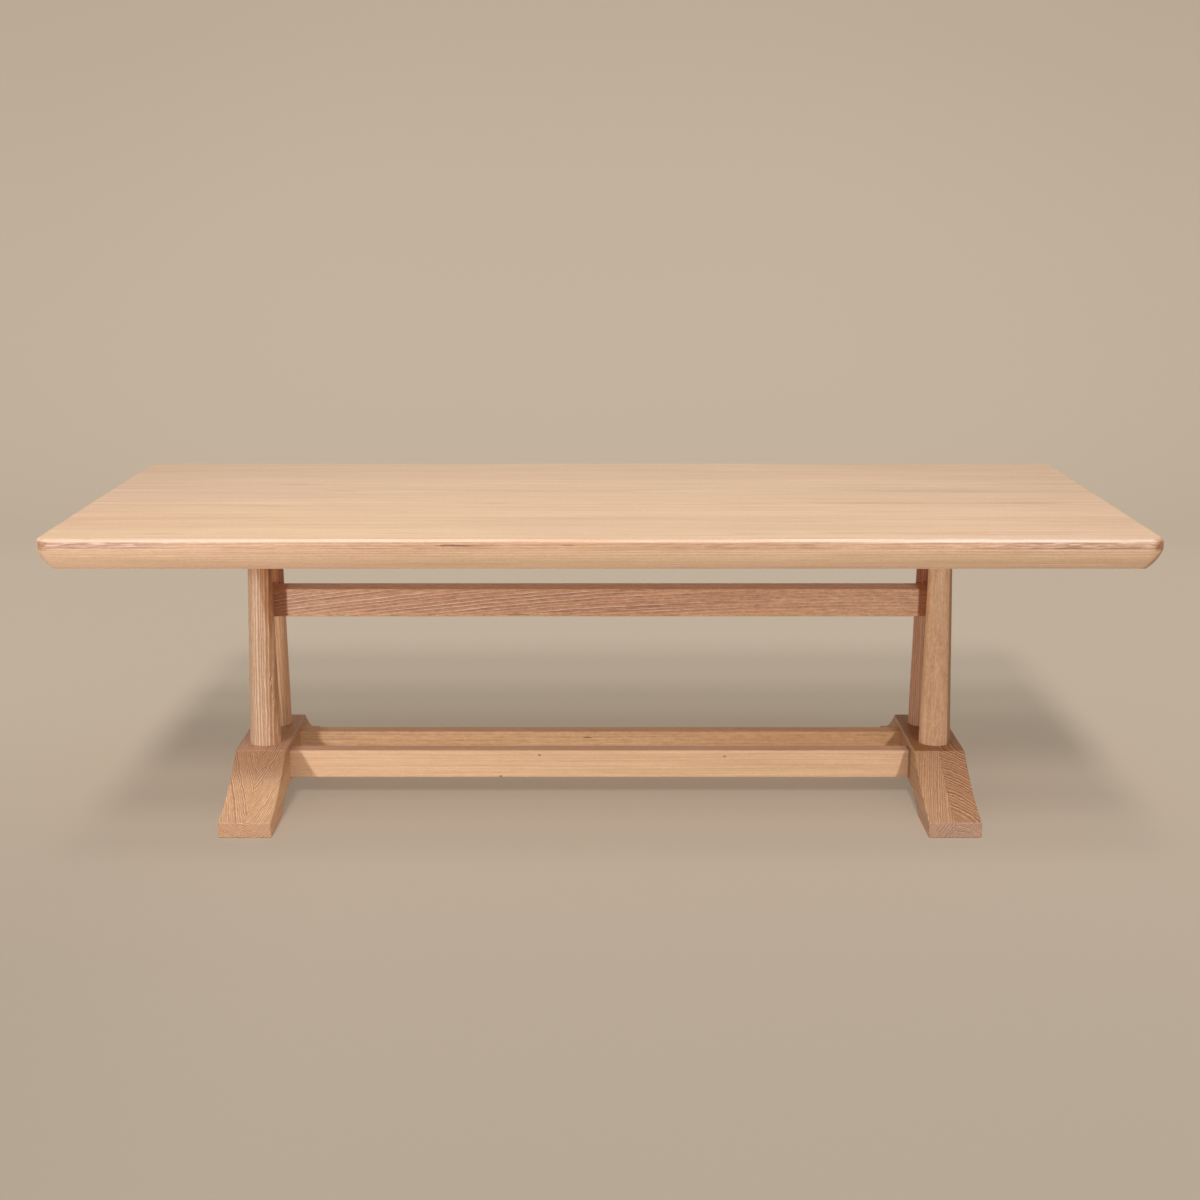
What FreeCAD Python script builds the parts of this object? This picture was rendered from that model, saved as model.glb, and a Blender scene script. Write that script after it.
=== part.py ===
import FreeCAD, Part
import math
import os
from FreeCAD import Vector as V

# Trestle dining table in solid oak. Millimetres.
# Frame: origin on the floor under the middle of the table, X along the length,
# Y across the width (front is -Y), Z up.

# ---- driving dimensions -------------------------------------------------
# tabletop
TOP_LENGTH = 2510.0
TOP_WIDTH = 1190.0
TABLE_HEIGHT = 750.0
TOP_THICK = 73.0
TOP_ARRIS_R = 11.0          # rounded upper arris
TOP_BAND = 27.0             # the edge stands upright down to here, then is bevelled
TOP_BAND_EASE = 1.8         # softening of the line between band and bevel
TOP_BEVEL_CROWN = 4.0       # how far the bevel bulges from a straight line
TOP_UNDERCUT = 35.0         # how far the underside lies inside the widest line
TOP_CORNER_R = 38.0         # plan radius of the four corners
BOARD_WIDTHS = [152.0, 146.0, 149.0, 148.0, 151.0, 147.0, 148.0, 149.0]

# trestles
TRESTLE_X = 841.6           # middle of each trestle from the table's centre
FOOT_THICK = 125.0          # two laminations side by side
FOOT_LENGTH = 850.0
FOOT_HEIGHT = 140.6         # the flat that carries the posts
FOOT_FLAT = 338.0           # length of that flat
TOE_HEIGHT = 38.0
FOOT_SWEEP = 14.0           # how hollow the slope of the foot is
PAD_INNER_Y = 262.0         # the foot rests on its ends, from here outwards
ARCH_FLAT_Y = 110.0
ARCH_HEIGHT = 42.0
FOOT_EASE = 2.2

# posts
POST_Y = 88.7
POST_R_BASE = 39.0          # at the top of the foot
POST_R_TOP = 27.0           # at the underside of the top, if it ran that far
POST_FOOT_TENON_R = 22.0
POST_FOOT_TENON_L = 42.0
POST_HEAD_TENON_R = 17.0
POST_HEAD_TENON_L = 38.0
GLUE_GAP = 0.25             # round and square tenons in their mortises

# bearers under the top
BEARER_WIDTH = 92.0
BEARER_HEIGHT = 50.0
BEARER_HALF = 400.0
BEARER_TAPER_FROM = 300.0
BEARER_TAPER_RISE = 25.0
BEARER_EASE = 2.0

# cross rails between the two posts of a trestle
CROSS_THICK = 40.0
CROSS_END_Y = 70.7          # shoulders, housed in the posts
CROSS_TENON_T = 16.0
CROSS_TENON_H = 46.0
CROSS_TENON_L = 12.0

# upper stretcher
UPPER_THICK = 78.0
UPPER_HEIGHT = 69.5
UPPER_TOP_Z = 522.0
UPPER_TENON_T = 26.0
UPPER_TENON_H = 44.0
UPPER_TENON_L = 14.0

# lower stretchers
LOWER_THICK = 44.0
LOWER_HEIGHT = 70.0
LOWER_TOP_Z = 123.3
LOWER_Y = 86.4
LOWER_TENON_T = 24.0
LOWER_TENON_H = 46.0
LOWER_TENON_L = 28.0
RAIL_EASE = 2.0

# knock-down fittings: M10 bolt, washer, barrel nut, wooden cover plug
BOLT_R = 4.9
BOLT_HEAD_R = 8.0
BOLT_HEAD_H = 7.0
BOLT_HEX_AF = 7.0
BOLT_HOLE_R = 5.6
WASHER_R = 11.0
WASHER_T = 2.0
PLUG_R = 12.8
PLUG_T = 4.0
POCKET_R = 13.0
POCKET_DEPTH = WASHER_T + BOLT_HEAD_H + PLUG_T
NUT_R = 8.0
NUT_L = 36.0
NUT_BORE_R = 8.3
NUT_SETBACK_LOWER = 50.0    # nut axis from the end of the stretcher
NUT_SETBACK_UPPER = 46.0
BOLT_PAST_NUT = 14.0
LOWER_BOLT_Z = 78.0

# screws that hold the top down
SCREW_Y = [-345.0, -222.0, -37.0, 37.0, 222.0, 345.0]
SCREW_R = 2.9
SCREW_PILOT_R = 3.1
SCREW_IN_TOP = 36.0
SCREW_HEAD_R = 5.6
SCREW_HEAD_H = 4.0
SCREW_WASHER_R = 8.5
SCREW_WASHER_T = 1.6
SCREW_POCKET_R = 9.5
SCREW_SEAT = 28.0           # wood left between the washer and the top
SCREW_SLOT_R = 3.5
SCREW_SLOT_HALF = 5.0       # half the travel of the slot across the top

# ---- derived ------------------------------------------------------------
UNDER_Z = TABLE_HEIGHT - TOP_THICK
BEARER_Z = UNDER_Z - BEARER_HEIGHT
FOOT_IN = TRESTLE_X - FOOT_THICK / 2.0
FOOT_OUT = TRESTLE_X + FOOT_THICK / 2.0
CROSS_IN = TRESTLE_X - CROSS_THICK / 2.0
CROSS_OUT = TRESTLE_X + CROSS_THICK / 2.0
UPPER_Z0 = UPPER_TOP_Z - UPPER_HEIGHT
UPPER_BOLT_Z = UPPER_TOP_Z - UPPER_HEIGHT / 2.0
LOWER_Z0 = LOWER_TOP_Z - LOWER_HEIGHT
SCREW_SEAT_Z = UNDER_Z - SCREW_SEAT


def post_radius(z):
    """Radius of the tapered post at height z."""
    t = (z - FOOT_HEIGHT) / (UNDER_Z - FOOT_HEIGHT)
    return POST_R_BASE + (POST_R_TOP - POST_R_BASE) * t


def box(x0, y0, z0, x1, y1, z1):
    return Part.makeBox(x1 - x0, y1 - y0, z1 - z0, V(x0, y0, z0))


def cyl(r, h, at, axis):
    return Part.makeCylinder(r, h, V(*at), V(*axis))


def mirror_x(shape):
    """The same piece on the other trestle."""
    return shape.mirror(V(0, 0, 0), V(1, 0, 0))


def mirror_y(shape):
    return shape.mirror(V(0, 0, 0), V(0, 1, 0))


def ease(shape, radius, pick):
    """Round the straight or curved arrises that pick() chooses."""
    edges = [e for e in shape.Edges if pick(e)]
    return shape.makeFillet(radius, edges)


def along(e, axis):
    """True for a straight edge that runs along one axis."""
    if not isinstance(e.Curve, Part.Line):
        return False
    d = e.Curve.Direction
    return abs(abs((d.x, d.y, d.z)[axis]) - 1.0) < 1e-6


def prism(edges, push):
    """A closed outline swept along a vector."""
    return Part.Face(Part.Wire(edges)).extrude(V(*push))


# ---- tabletop -----------------------------------------------------------
def edge_profile(place):
    """Edge of the top, from the upper face round to the underside.

    place(inset, drop) turns a distance in from the widest line and a distance
    below the upper face into a point. A rounded arris runs into an upright
    band, and below it a slightly crowned bevel goes in under the top.
    """
    a, u, t, b, e = TOP_ARRIS_R, TOP_UNDERCUT, TOP_THICK, TOP_BAND, TOP_BAND_EASE
    k = a * (1.0 - math.sqrt(0.5))
    upper = Part.Arc(place(a, 0.0), place(k, k), place(0.0, a)).toShape()
    band = Part.LineSegment(place(0.0, a), place(0.0, b - e)).toShape()

    # the bevel as one arc: its circle, and points along it from 0 to 1
    s, c = TOP_BEVEL_CROWN, math.hypot(u, t - b)
    r = (c * c / 4.0 + s * s) / (2.0 * s)
    half = math.asin(c / 2.0 / r)
    tu, tt = u / c, (t - b) / c
    cu, ct = u / 2.0 + tt * (r - s), (b + t) / 2.0 - tu * (r - s)

    def bevel(f):
        g = half * (2.0 * f - 1.0)
        return (cu + r * (tu * math.sin(g) - tt * math.cos(g)),
                ct + r * (tt * math.sin(g) + tu * math.cos(g)))

    f = e / (2.0 * half * r)
    p = bevel(f)
    soft = Part.Arc(place(0.0, b - e), place(0.25 * p[0], 0.25 * (b - e) + 0.5 * b + 0.25 * p[1]),
                    place(*p)).toShape()
    lower = Part.Arc(place(*p), place(*bevel((1.0 + f) / 2.0)), place(u, t)).toShape()
    return [upper, band, soft, lower]


def build_top():
    hl, hw, r = TOP_LENGTH / 2.0, TOP_WIDTH / 2.0, TOP_CORNER_R
    z1, z0 = TABLE_HEIGHT, UNDER_Z
    a, u = TOP_ARRIS_R, TOP_UNDERCUT

    # the long middle, profiled on the front and rear edges
    def front(s, d):
        return V(-(hl - r), -hw + s, z1 - d)

    def rear(s, d):
        return V(-(hl - r), hw - s, z1 - d)

    edges = edge_profile(front) + [
        Part.LineSegment(front(u, TOP_THICK), rear(u, TOP_THICK)).toShape()]
    edges += edge_profile(rear) + [
        Part.LineSegment(rear(a, 0), front(a, 0)).toShape()]
    wire = Part.Wire(Part.__sortEdges__(edges))
    top = Part.Face(wire).extrude(V(2 * (hl - r), 0, 0))

    # both ends between the corners, and the four corners turned about their axes
    for sx in (-1, 1):
        def end(s, d):
            return V(sx * (hl - s), -(hw - r), z1 - d)
        outline = edge_profile(end) + [
            Part.LineSegment(end(u, TOP_THICK), end(r, TOP_THICK)).toShape(),
            Part.LineSegment(end(r, TOP_THICK), end(r, 0)).toShape(),
            Part.LineSegment(end(r, 0), end(a, 0)).toShape()]
        face = Part.Face(Part.Wire(Part.__sortEdges__(outline)))
        top = top.fuse(face.extrude(V(0, 2 * (hw - r), 0)))
        for sy in (-1, 1):
            def corner(s, d):
                return V(sx * (hl - s), sy * (hw - r), z1 - d)
            outline = edge_profile(corner) + [
                Part.LineSegment(corner(u, TOP_THICK), corner(r, TOP_THICK)).toShape(),
                Part.LineSegment(corner(r, TOP_THICK), corner(r, 0)).toShape(),
                Part.LineSegment(corner(r, 0), corner(a, 0)).toShape()]
            face = Part.Face(Part.Wire(Part.__sortEdges__(outline)))
            turn = face.revolve(V(sx * (hl - r), sy * (hw - r), 0), V(0, 0, 1),
                                90.0 * sx * sy)
            top = top.fuse(turn)
    return top.removeSplitter()


def build_boards(top):
    """Saw the profiled slab into its staves, along the glue lines."""
    out = []
    y = -TOP_WIDTH / 2.0
    for i, w in enumerate(BOARD_WIDTHS):
        stave = box(-TOP_LENGTH, y if i else y - 50, UNDER_Z - 50, TOP_LENGTH,
                    y + w + (50 if i == len(BOARD_WIDTHS) - 1 else 0),
                    TABLE_HEIGHT + 50)
        board = top.common(stave)
        for sx in (-1, 1):
            for sy in SCREW_Y:
                if y < sy < y + w:
                    board = board.cut(cyl(SCREW_PILOT_R, SCREW_IN_TOP + 1,
                                          (sx * TRESTLE_X, sy, UNDER_Z), (0, 0, 1)))
        out.append(board.Solids[0])
        y += w
    return out


# ---- feet ---------------------------------------------------------------
def build_foot():
    """Whole right foot: swept toes, a flat for the posts, an arched underside."""
    h, f = FOOT_LENGTH / 2.0, FOOT_FLAT / 2.0
    x0 = FOOT_IN

    def p(y, z):
        return V(x0, y, z)

    dy, dz = h - f, FOOT_HEIGHT - TOE_HEIGHT
    chord = math.hypot(dy, dz)
    ny, nz = dz / chord, -dy / chord
    mid_y, mid_z = -(h + f) / 2.0 + ny * FOOT_SWEEP, (FOOT_HEIGHT + TOE_HEIGHT) / 2.0 + nz * FOOT_SWEEP
    run = PAD_INNER_Y - ARCH_FLAT_Y
    arch_r = (run * run + ARCH_HEIGHT * ARCH_HEIGHT) / (2.0 * ARCH_HEIGHT)
    half = 0.5 * math.asin(run / arch_r)
    am_y = ARCH_FLAT_Y + arch_r * math.sin(half)
    am_z = ARCH_HEIGHT - arch_r * (1.0 - math.cos(half))
    line = lambda a, b: Part.LineSegment(a, b).toShape()
    arc = lambda a, b, c: Part.Arc(a, b, c).toShape()
    edges = [
        line(p(-h, 0), p(-h, TOE_HEIGHT)),
        arc(p(-h, TOE_HEIGHT), p(mid_y, mid_z), p(-f, FOOT_HEIGHT)),
        line(p(-f, FOOT_HEIGHT), p(f, FOOT_HEIGHT)),
        arc(p(f, FOOT_HEIGHT), p(-mid_y, mid_z), p(h, TOE_HEIGHT)),
        line(p(h, TOE_HEIGHT), p(h, 0)),
        line(p(h, 0), p(PAD_INNER_Y, 0)),
        arc(p(PAD_INNER_Y, 0), p(am_y, am_z), p(ARCH_FLAT_Y, ARCH_HEIGHT)),
        line(p(ARCH_FLAT_Y, ARCH_HEIGHT), p(-ARCH_FLAT_Y, ARCH_HEIGHT)),
        arc(p(-ARCH_FLAT_Y, ARCH_HEIGHT), p(-am_y, am_z), p(-PAD_INNER_Y, 0)),
        line(p(-PAD_INNER_Y, 0), p(-h, 0)),
    ]
    foot = prism(edges, (FOOT_THICK, 0, 0))

    # ease every arris except the smooth runs into the arch
    def pick(e):
        ys = [abs(v.Point.y) for v in e.Vertexes]
        zs = [v.Point.z for v in e.Vertexes]
        if along(e, 0):
            return ys[0] > PAD_INNER_Y + 1 or zs[0] > FOOT_HEIGHT - 1
        return True

    return ease(foot, FOOT_EASE, pick)


def build_foot_halves(foot):
    inner = foot.common(box(FOOT_IN - 5, -600, -5, TRESTLE_X, 600, 300))
    outer = foot.common(box(TRESTLE_X, -600, -5, FOOT_OUT + 5, 600, 300))
    for sy in (-1, 1):
        bore = cyl(POST_FOOT_TENON_R + GLUE_GAP, POST_FOOT_TENON_L + 2.0,
                   (TRESTLE_X, sy * POST_Y, FOOT_HEIGHT - POST_FOOT_TENON_L - 2.0), (0, 0, 1))
        inner = inner.cut(bore)
        outer = outer.cut(bore)
        t, zc, g = LOWER_TENON_T / 2.0, (LOWER_Z0 + LOWER_TOP_Z) / 2.0, GLUE_GAP
        inner = inner.cut(box(FOOT_IN - 1, sy * LOWER_Y - t - g, zc - LOWER_TENON_H / 2.0 - g,
                              FOOT_IN + LOWER_TENON_L + 1.5, sy * LOWER_Y + t + g,
                              zc + LOWER_TENON_H / 2.0 + g))
        through = cyl(BOLT_HOLE_R, FOOT_THICK + 2, (FOOT_IN - 1, sy * LOWER_Y, LOWER_BOLT_Z), (1, 0, 0))
        pocket = cyl(POCKET_R, POCKET_DEPTH + 1,
                     (FOOT_OUT - POCKET_DEPTH, sy * LOWER_Y, LOWER_BOLT_Z), (1, 0, 0))
        inner = inner.cut(through)
        outer = outer.cut(through).cut(pocket)
    return inner.Solids[0], outer.Solids[0]


# ---- posts --------------------------------------------------------------
def build_post():
    """Front right post: tapered round, round tenons, housing for the cross rail."""
    x, y = TRESTLE_X, -POST_Y
    shaft = Part.makeCone(POST_R_BASE, post_radius(BEARER_Z), BEARER_Z - FOOT_HEIGHT,
                          V(x, y, FOOT_HEIGHT))
    foot_tenon = cyl(POST_FOOT_TENON_R, POST_FOOT_TENON_L + 1,
                     (x, y, FOOT_HEIGHT - POST_FOOT_TENON_L), (0, 0, 1))
    head_tenon = cyl(POST_HEAD_TENON_R, POST_HEAD_TENON_L + 1, (x, y, BEARER_Z - 1), (0, 0, 1))
    post = shaft.fuse(foot_tenon).fuse(head_tenon).removeSplitter()
    h = CROSS_THICK / 2.0
    post = post.cut(box(x - h, -CROSS_END_Y, UPPER_Z0, x + h, 0, UPPER_TOP_Z))
    t, g = CROSS_TENON_T / 2.0 + GLUE_GAP, GLUE_GAP
    post = post.cut(box(x - t, -CROSS_END_Y - CROSS_TENON_L - 1,
                        UPPER_BOLT_Z - CROSS_TENON_H / 2.0 - g, x + t, -CROSS_END_Y + 1,
                        UPPER_BOLT_Z + CROSS_TENON_H / 2.0 + g))
    return post.Solids[0]


# ---- bearer -------------------------------------------------------------
def build_bearer():
    """Right bearer: clipped ends, two bores for the posts, slotted screw holes."""
    x0, x1 = TRESTLE_X - BEARER_WIDTH / 2.0, TRESTLE_X + BEARER_WIDTH / 2.0
    b, k = BEARER_HALF, BEARER_TAPER_FROM
    pts = [V(x0, -b, UNDER_Z), V(x0, -b, BEARER_Z + BEARER_TAPER_RISE), V(x0, -k, BEARER_Z),
           V(x0, k, BEARER_Z), V(x0, b, BEARER_Z + BEARER_TAPER_RISE), V(x0, b, UNDER_Z)]
    outline = [Part.LineSegment(pts[i], pts[(i + 1) % len(pts)]).toShape() for i in range(len(pts))]
    bearer = prism(outline, (BEARER_WIDTH, 0, 0))
    bearer = ease(bearer, BEARER_EASE,
                  lambda e: all(v.Point.z < UNDER_Z - 1 for v in e.Vertexes)
                  and not (along(e, 0) and abs(e.Vertexes[0].Point.y) < b - 1))
    for sy in (-1, 1):
        bearer = bearer.cut(cyl(POST_HEAD_TENON_R + GLUE_GAP, POST_HEAD_TENON_L + 2.0 + 1,
                                (TRESTLE_X, sy * POST_Y, BEARER_Z - 1), (0, 0, 1)))
    s = SCREW_SLOT_HALF
    for sy in SCREW_Y:
        for r, z0, z1 in ((SCREW_POCKET_R, BEARER_Z - 1, SCREW_SEAT_Z),
                          (SCREW_SLOT_R, SCREW_SEAT_Z - 1, UNDER_Z + 1)):
            slot = cyl(r, z1 - z0, (TRESTLE_X, sy - s, z0), (0, 0, 1))
            slot = slot.fuse(cyl(r, z1 - z0, (TRESTLE_X, sy + s, z0), (0, 0, 1)))
            slot = slot.fuse(box(TRESTLE_X - r, sy - s, z0, TRESTLE_X + r, sy + s, z1))
            bearer = bearer.cut(slot.removeSplitter())
    return bearer.Solids[0]


# ---- rails and stretchers -----------------------------------------------
def build_cross_rail():
    """Right cross rail: housed between the posts, mortised for the upper stretcher."""
    rail = box(CROSS_IN, -CROSS_END_Y, UPPER_Z0, CROSS_OUT, CROSS_END_Y, UPPER_TOP_Z)
    t, hh = CROSS_TENON_T / 2.0, CROSS_TENON_H / 2.0
    rail = rail.fuse(box(TRESTLE_X - t, -CROSS_END_Y - CROSS_TENON_L, UPPER_BOLT_Z - hh,
                         TRESTLE_X + t, CROSS_END_Y + CROSS_TENON_L, UPPER_BOLT_Z + hh))
    t, hh, g = UPPER_TENON_T / 2.0, UPPER_TENON_H / 2.0, GLUE_GAP
    rail = rail.cut(box(CROSS_IN - 1, -t - g, UPPER_BOLT_Z - hh - g,
                        CROSS_IN + UPPER_TENON_L + 1, t + g, UPPER_BOLT_Z + hh + g))
    rail = rail.cut(cyl(BOLT_HOLE_R, CROSS_THICK + 2, (CROSS_IN - 1, 0, UPPER_BOLT_Z), (1, 0, 0)))
    rail = rail.cut(cyl(POCKET_R, POCKET_DEPTH + 1, (CROSS_OUT - POCKET_DEPTH, 0, UPPER_BOLT_Z), (1, 0, 0)))
    return rail.Solids[0]


def build_stretcher(half, y, thick, z0, z1, tenon_t, tenon_h, tenon_l, bolt_z, nut_back):
    """A rail with eased arrises, a stub tenon and a bolt fitting at each end."""
    rail = box(-half, y - thick / 2.0, z0, half, y + thick / 2.0, z1)
    rail = ease(rail, RAIL_EASE, lambda e: along(e, 0))
    zc = (z0 + z1) / 2.0
    rail = rail.fuse(box(-half - tenon_l, y - tenon_t / 2.0, zc - tenon_h / 2.0,
                         half + tenon_l, y + tenon_t / 2.0, zc + tenon_h / 2.0)).removeSplitter()
    nut_x = half - nut_back
    for sx in (-1, 1):
        depth = nut_back + BOLT_PAST_NUT + 2.0 + tenon_l + 1.0
        rail = rail.cut(cyl(BOLT_HOLE_R, depth, (sx * (half + tenon_l + 1.0), y, bolt_z), (-sx, 0, 0)))
        rail = rail.cut(cyl(NUT_BORE_R, bolt_z + NUT_L / 2.0 + 1.0 - (z0 - 1.0),
                            (sx * nut_x, y, z0 - 1.0), (0, 0, 1)))
    return rail.Solids[0]


# ---- fittings -----------------------------------------------------------
def hexagon(af, depth, at, axis_x):
    r = af / math.sqrt(3.0)
    pts = [V(at[0], at[1] + r * math.cos(math.radians(60 * i)), at[2] + r * math.sin(math.radians(60 * i)))
           for i in range(6)]
    outline = [Part.LineSegment(pts[i], pts[(i + 1) % 6]).toShape() for i in range(6)]
    return prism(outline, (depth * axis_x, 0, 0))


def build_bolt(face_x, nut_x, y, z):
    """Socket-head bolt on the right side, put in from the outside."""
    seat = face_x - POCKET_DEPTH + WASHER_T
    end = nut_x - BOLT_PAST_NUT
    bolt = cyl(BOLT_R, seat - end + 1, (end, y, z), (1, 0, 0))
    head = cyl(BOLT_HEAD_R, BOLT_HEAD_H, (seat, y, z), (1, 0, 0))
    bolt = bolt.fuse(head).removeSplitter()
    ends = [e for e in bolt.Edges if isinstance(e.Curve, Part.Circle)
            and (abs(e.Curve.Center.x - end) < 1e-6 or abs(e.Curve.Center.x - seat - BOLT_HEAD_H) < 1e-6)]
    bolt = bolt.makeChamfer(0.8, ends)
    return bolt.cut(hexagon(BOLT_HEX_AF, 4.5, (seat + BOLT_HEAD_H + 0.5, y, z), -1)).Solids[0]


def build_washer(face_x, y, z):
    x = face_x - POCKET_DEPTH
    ring = cyl(WASHER_R, WASHER_T, (x, y, z), (1, 0, 0))
    return ring.cut(cyl(BOLT_R + 0.3, WASHER_T + 2, (x - 1, y, z), (1, 0, 0)))


def build_plug(face_x, y, z):
    plug = cyl(PLUG_R, PLUG_T, (face_x - PLUG_T, y, z), (1, 0, 0))
    rim = [e for e in plug.Edges if isinstance(e.Curve, Part.Circle)
           and abs(e.Curve.Center.x - face_x) < 1e-6]
    return plug.makeChamfer(0.6, rim)


def build_nut(nut_x, y, z):
    nut = cyl(NUT_R, NUT_L, (nut_x, y, z - NUT_L / 2.0), (0, 0, 1))
    rims = [e for e in nut.Edges if isinstance(e.Curve, Part.Circle)]
    nut = nut.makeChamfer(0.8, rims)
    nut = nut.cut(cyl(BOLT_R + 0.2, 4 * NUT_R, (nut_x - 2 * NUT_R, y, z), (1, 0, 0)))
    # screwdriver slot in the lower end, to line the thread up with the bolt
    nut = nut.cut(box(nut_x - 2 * NUT_R, y - 0.9, z - NUT_L / 2.0 - 1,
                      nut_x + 2 * NUT_R, y + 0.9, z - NUT_L / 2.0 + 2.5))
    return nut.Solids[0]


def build_screw(y):
    x = TRESTLE_X
    seat = SCREW_SEAT_Z - SCREW_WASHER_T
    tip = UNDER_Z + SCREW_IN_TOP
    shank = cyl(SCREW_R, tip - 6.0 - seat + 1, (x, y, seat - 1), (0, 0, 1))
    point = Part.makeCone(SCREW_R, 0.4, 6.0, V(x, y, tip - 6.0))
    head = cyl(SCREW_HEAD_R, SCREW_HEAD_H, (x, y, seat - SCREW_HEAD_H), (0, 0, 1))
    screw = shank.fuse(point).fuse(head).removeSplitter()
    rim = [e for e in screw.Edges if isinstance(e.Curve, Part.Circle)
           and abs(e.Curve.Center.z - (seat - SCREW_HEAD_H)) < 1e-6]
    screw = screw.makeFillet(1.4, rim)
    for a, b in ((3.2, 0.7), (0.7, 3.2)):
        screw = screw.cut(box(x - a, y - b, seat - SCREW_HEAD_H - 1, x + a, y + b,
                              seat - SCREW_HEAD_H + 2.2))
    return screw.Solids[0]


def build_screw_washer(y):
    z = SCREW_SEAT_Z - SCREW_WASHER_T
    ring = cyl(SCREW_WASHER_R, SCREW_WASHER_T, (TRESTLE_X, y, z), (0, 0, 1))
    return ring.cut(cyl(SCREW_R + 0.4, SCREW_WASHER_T + 2, (TRESTLE_X, y, z - 1), (0, 0, 1)))


# ---- assembly -----------------------------------------------------------
parts = {}
top = build_top()
for i, board in enumerate(build_boards(top)):
    parts["tabletop_board_%d" % (i + 1)] = board

foot_inner, foot_outer = build_foot_halves(build_foot())
parts["right_foot_inner_half"] = foot_inner
parts["right_foot_outer_half"] = foot_outer
parts["left_foot_inner_half"] = mirror_x(foot_inner)
parts["left_foot_outer_half"] = mirror_x(foot_outer)

post = build_post()
parts["front_right_post"] = post
parts["rear_right_post"] = mirror_y(post)
parts["front_left_post"] = mirror_x(post)
parts["rear_left_post"] = mirror_x(mirror_y(post))

bearer = build_bearer()
parts["right_bearer"] = bearer
parts["left_bearer"] = mirror_x(bearer)

cross = build_cross_rail()
parts["right_cross_rail"] = cross
parts["left_cross_rail"] = mirror_x(cross)

parts["upper_stretcher"] = build_stretcher(
    CROSS_IN, 0.0, UPPER_THICK, UPPER_Z0, UPPER_TOP_Z, UPPER_TENON_T, UPPER_TENON_H,
    UPPER_TENON_L, UPPER_BOLT_Z, NUT_SETBACK_UPPER)
for name, y in (("front_lower_stretcher", -LOWER_Y), ("rear_lower_stretcher", LOWER_Y)):
    parts[name] = build_stretcher(
        FOOT_IN, y, LOWER_THICK, LOWER_Z0, LOWER_TOP_Z, LOWER_TENON_T, LOWER_TENON_H,
        LOWER_TENON_L, LOWER_BOLT_Z, NUT_SETBACK_LOWER)

lower_nut_x = FOOT_IN - NUT_SETBACK_LOWER
upper_nut_x = CROSS_IN - NUT_SETBACK_UPPER
lower_bolts, upper_bolts, washers, plugs, nuts, screws, screw_washers = [], [], [], [], [], [], []
for y in (-LOWER_Y, LOWER_Y):
    lower_bolts.append(build_bolt(FOOT_OUT, lower_nut_x, y, LOWER_BOLT_Z))
    washers.append(build_washer(FOOT_OUT, y, LOWER_BOLT_Z))
    plugs.append(build_plug(FOOT_OUT, y, LOWER_BOLT_Z))
    nuts.append(build_nut(lower_nut_x, y, LOWER_BOLT_Z))
upper_bolts.append(build_bolt(CROSS_OUT, upper_nut_x, 0.0, UPPER_BOLT_Z))
washers.append(build_washer(CROSS_OUT, 0.0, UPPER_BOLT_Z))
plugs.append(build_plug(CROSS_OUT, 0.0, UPPER_BOLT_Z))
nuts.append(build_nut(upper_nut_x, 0.0, UPPER_BOLT_Z))
for y in SCREW_Y:
    screws.append(build_screw(y))
    screw_washers.append(build_screw_washer(y))


def both_sides(shapes):
    return Part.makeCompound(shapes + [mirror_x(s) for s in shapes])


parts["lower_stretcher_bolts"] = both_sides(lower_bolts)
parts["upper_stretcher_bolts"] = both_sides(upper_bolts)
parts["bolt_washers"] = both_sides(washers)
parts["bolt_cover_plugs"] = both_sides(plugs)
parts["barrel_nuts"] = both_sides(nuts)
parts["tabletop_screws"] = both_sides(screws)
parts["screw_washers"] = both_sides(screw_washers)

os.makedirs("parts", exist_ok=True)
for name, shape in parts.items():
    if not shape.isValid():
        raise ValueError("bad solid: " + name)
    shape.exportStep("parts/%s.step" % name)
    print(name, len(shape.Solids), round(shape.Volume / 1000.0, 1), "cm3")
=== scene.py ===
import math

import bpy
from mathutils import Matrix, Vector


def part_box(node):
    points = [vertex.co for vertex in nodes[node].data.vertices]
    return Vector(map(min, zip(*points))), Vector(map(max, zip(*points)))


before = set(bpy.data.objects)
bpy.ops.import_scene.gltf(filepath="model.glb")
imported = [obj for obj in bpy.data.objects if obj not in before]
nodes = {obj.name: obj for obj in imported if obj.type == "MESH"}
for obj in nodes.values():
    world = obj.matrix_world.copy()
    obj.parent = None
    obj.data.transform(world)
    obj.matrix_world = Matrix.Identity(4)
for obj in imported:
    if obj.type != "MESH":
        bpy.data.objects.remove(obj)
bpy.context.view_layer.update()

scene = bpy.context.scene
scene.view_settings.view_transform = "Standard"
scene.view_settings.look = "None"
scene.view_settings.exposure = 0.0
scene.view_settings.gamma = 1.0


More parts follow.
